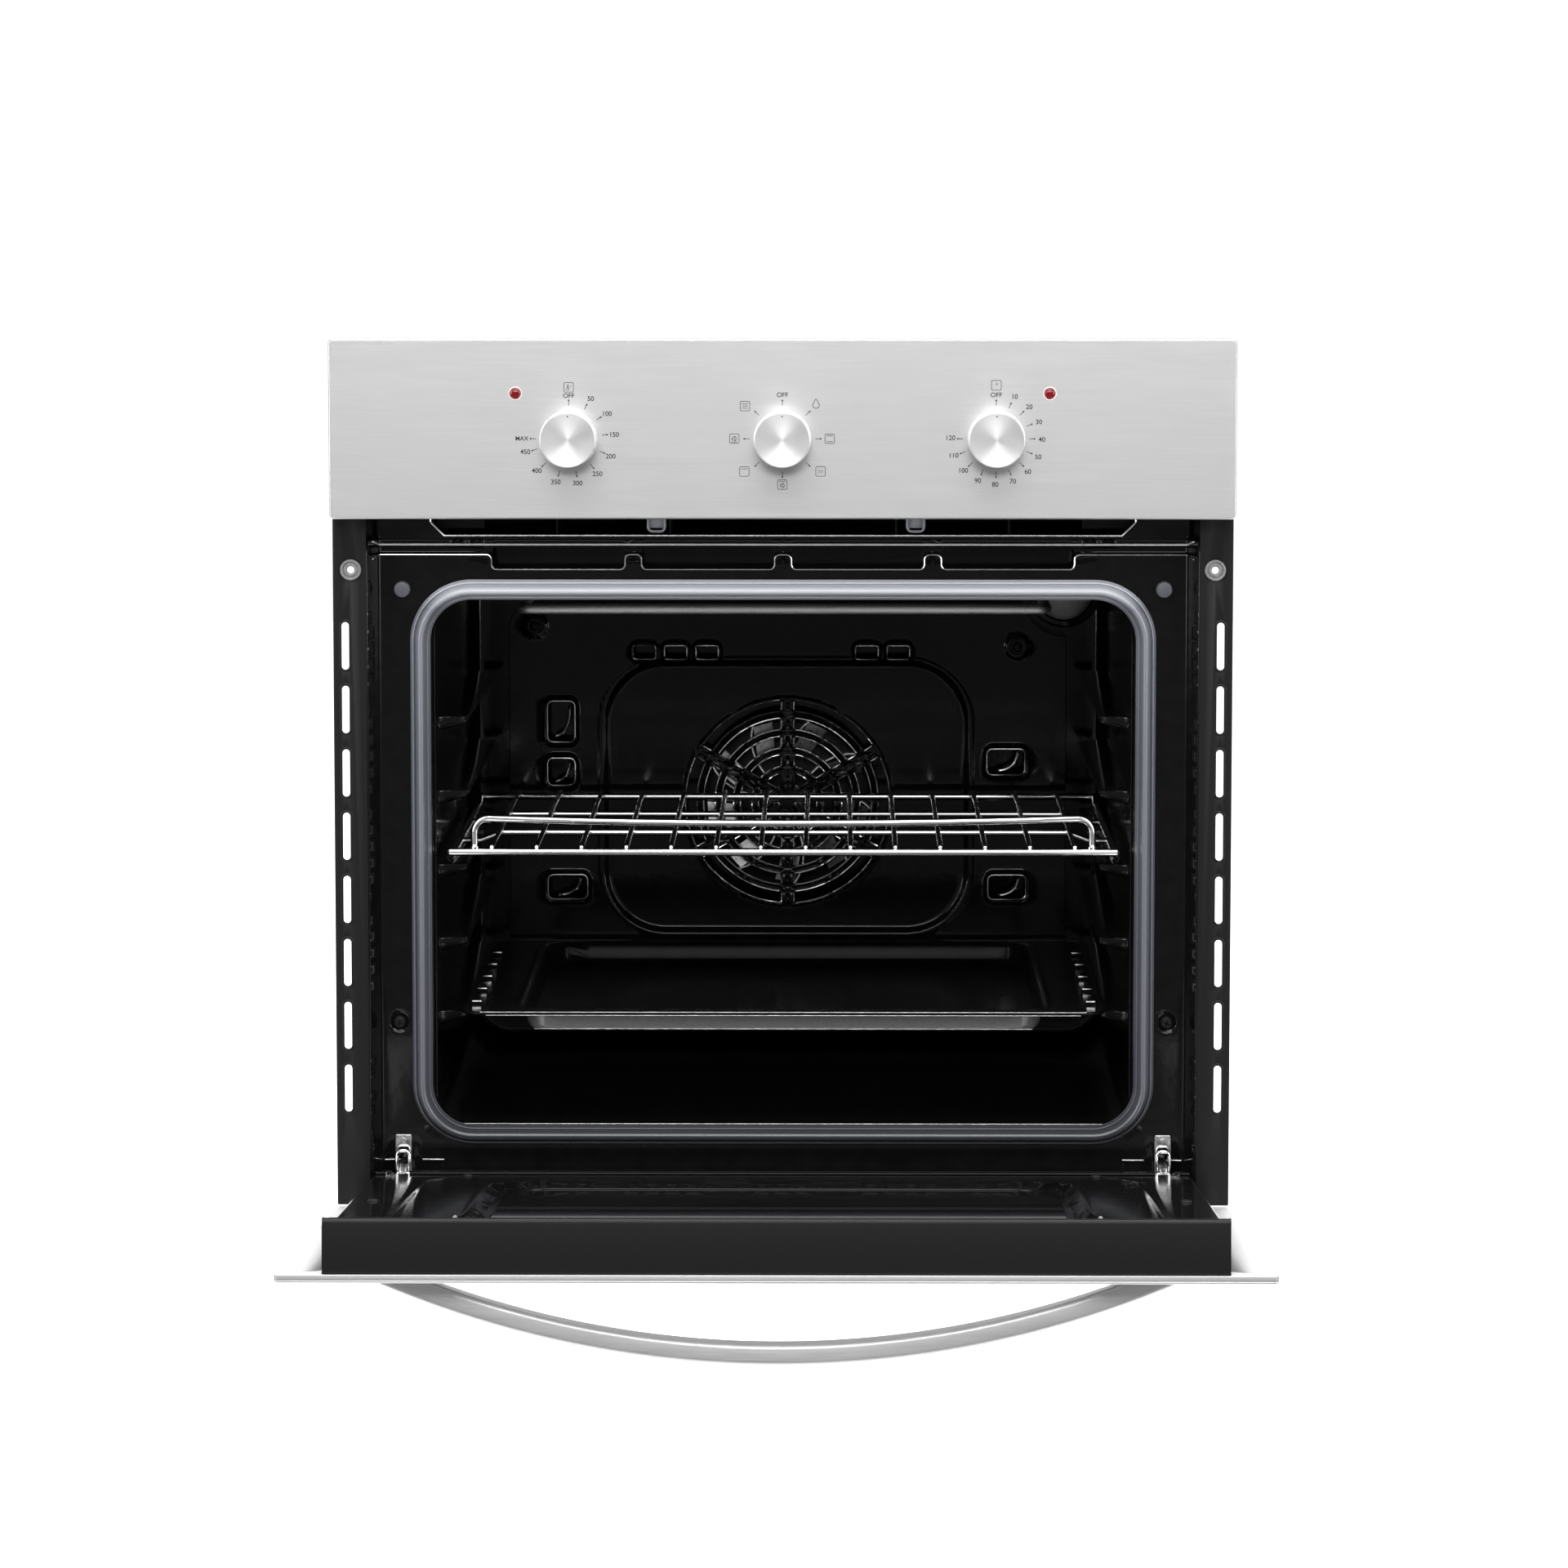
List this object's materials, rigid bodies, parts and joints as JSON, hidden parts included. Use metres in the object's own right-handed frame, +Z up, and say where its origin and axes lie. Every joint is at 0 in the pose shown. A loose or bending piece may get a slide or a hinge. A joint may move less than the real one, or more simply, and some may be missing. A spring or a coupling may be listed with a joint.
{
  "type": "built-in wall oven",
  "caption": "Built-in electric wall oven with a brushed steel control panel, three knobs, a drop-down door with a bowed handle, a wire rack and a baking tray.",
  "frame": {"origin": "middle of the underside of the base plate, on the shelf face mount", "axes": "+Z up, -Y out of the front towards the user, +X to the right seen from the front"},
  "size_m": [0.595, 0.9802, 0.6017],
  "materials": {
    "brushed_stainless": "brushed, fine horizontal grain",
    "black_enamel": "gloss vitreous enamel",
    "black_paint": "satin powder coat",
    "zinc": "bright zinc plate",
    "galvanised": "galvanised sheet",
    "chrome_wire": "bright chrome plate",
    "silicone": "satin grey silicone",
    "mineral_wool": "matt fibre blanket",
    "tinted_glass": "dark tinted, polished",
    "lamp_glass": "clear, polished",
    "heater_sheath": "satin grey alloy tube",
    "spun_aluminium": "spun face, bright turned edge",
    "red_lens": "gloss red",
    "white_plastic": "matt moulded"
  },
  "bodies": {
    "cabinet": {"base_plate": "galvanised", "left_side_panel": "galvanised", "right_side_panel": "galvanised", "top_cover": "galvanised", "rear_panel": "galvanised", "terminal_block": "white_plastic", "left_mounting_strip": "black_paint", "right_mounting_strip": "black_paint", "left_mount_grommet": "silicone", "right_mount_grommet": "silicone", "front_frame": "black_enamel", "left_door_bumper": "silicone", "right_door_bumper": "silicone", "left_frame_screw": "black_paint", "right_frame_screw": "black_paint", "door_gasket": "silicone", "cavity_liner": "black_enamel", "insulation_blanket": "mineral_wool", "grill_element": "heater_sheath", "bake_element": "heater_sheath", "fan_cover": "black_enamel", "fan_motor": "galvanised", "temperature_probe": "chrome_wire", "lamp_glass": "lamp_glass", "lamp_holder": "white_plastic", "air_duct": "black_paint", "cooling_blower": "galvanised", "control_panel": "brushed_stainless", "switch_bracket": "galvanised", "thermostat": "white_plastic", "selector_switch": "white_plastic", "timer_unit": "white_plastic", "left_indicator_lamp": "red_lens", "right_indicator_lamp": "red_lens", "left_hinge_receiver": "zinc", "left_hinge_arm": "zinc", "right_hinge_receiver": "zinc", "right_hinge_arm": "zinc"},
    "door": {"door_skin": "brushed_stainless", "door_outer_glass": "tinted_glass", "door_frame": "black_paint", "door_inner_panel": "black_enamel", "door_inner_glass": "tinted_glass", "door_handle": "brushed_stainless", "left_hinge_channel": "galvanised", "right_hinge_channel": "galvanised", "left_hinge_pin": "zinc", "right_hinge_pin": "zinc", "left_hinge_spring": "zinc", "right_hinge_spring": "zinc"},
    "fan_impeller": {"fan_impeller": "spun_aluminium"},
    "cooling_rotor": {"cooling_rotor": "galvanised"},
    "temperature_knob": {"temperature_knob": "spun_aluminium"},
    "selector_knob": {"selector_knob": "spun_aluminium"},
    "timer_knob": {"timer_knob": "spun_aluminium"},
    "left_hinge_lock": {"left_hinge_lock": "zinc"},
    "right_hinge_lock": {"right_hinge_lock": "zinc"},
    "wire_rack": {"wire_rack": "chrome_wire", "rack_loop": "chrome_wire"},
    "baking_tray": {"baking_tray": "black_enamel"}
  },
  "joints": [
    {"name": "door_hinge", "type": "hinge", "parent": "cabinet", "child": "door", "pos_m": [0, -0.2715, 0.01], "axis": [1, 0, 0], "range_deg": [-85, 0]},
    {"name": "temperature_turn", "type": "hinge", "parent": "cabinet", "child": "temperature_knob", "pos_m": [-0.14, -0.2875, 0.5128], "axis": [0, 1, 0], "range_deg": [0, 270]},
    {"name": "selector_turn", "type": "hinge", "parent": "cabinet", "child": "selector_knob", "pos_m": [0, -0.2875, 0.5128], "axis": [0, 1, 0], "continuous": true},
    {"name": "timer_turn", "type": "hinge", "parent": "cabinet", "child": "timer_knob", "pos_m": [0.14, -0.2875, 0.5128], "axis": [0, 1, 0], "range_deg": [0, 270]},
    {"name": "rack_slide", "type": "slide", "parent": "cabinet", "child": "wire_rack", "axis": [0, -1, 0], "range_m": [0, 0.28]},
    {"name": "tray_slide", "type": "slide", "parent": "cabinet", "child": "baking_tray", "axis": [0, -1, 0], "range_m": [0, 0.28]},
    {"name": "fan_spin", "type": "hinge", "parent": "cabinet", "child": "fan_impeller", "pos_m": [0, 0.16, 0.226], "axis": [0, 1, 0], "continuous": true},
    {"name": "blower_spin", "type": "hinge", "parent": "cabinet", "child": "cooling_rotor", "pos_m": [0, 0.165, 0.49], "axis": [1, 0, 0], "continuous": true},
    {"name": "left_lock_flip", "type": "hinge", "parent": "cabinet", "child": "left_hinge_lock", "pos_m": [-0.2545, -0.2515, 0.019], "axis": [1, 0, 0], "range_deg": [0, 80]},
    {"name": "right_lock_flip", "type": "hinge", "parent": "cabinet", "child": "right_hinge_lock", "pos_m": [0.2545, -0.2515, 0.019], "axis": [1, 0, 0], "range_deg": [0, 80]}
  ]
}
